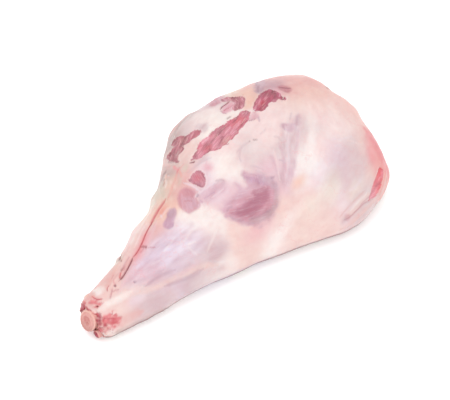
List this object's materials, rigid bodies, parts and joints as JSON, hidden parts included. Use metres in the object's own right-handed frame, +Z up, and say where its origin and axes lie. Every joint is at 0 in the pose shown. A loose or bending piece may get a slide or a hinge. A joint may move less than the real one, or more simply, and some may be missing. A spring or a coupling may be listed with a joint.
{
  "type": "raw leg of lamb",
  "caption": "Whole raw leg of lamb on the bone, lying flat: broad thigh under pale fell, tapering shank with the sawn shank bone showing.",
  "frame": {"origin": "middle of the bounding box's base, on the surface that the leg lies on", "axes": "+X along the leg from the sawn shank to the rump cut, +Y towards the side where bare muscle shows, +Z up"},
  "size_m": [0.3987, 0.2256, 0.0923],
  "materials": {
    "meat_and_fell": "moist, semi-gloss: pale fat and silvery fell over pink muscle",
    "bone": "freshly sawn, damp, pink marrow inside a pale rim",
    "tendon": "damp, dark red cut end in a pale sheath"
  },
  "bodies": {
    "root": {"leg_meat": "meat_and_fell", "shank_bone": "bone", "heel_tendon": "tendon"}
  },
  "joints": []
}
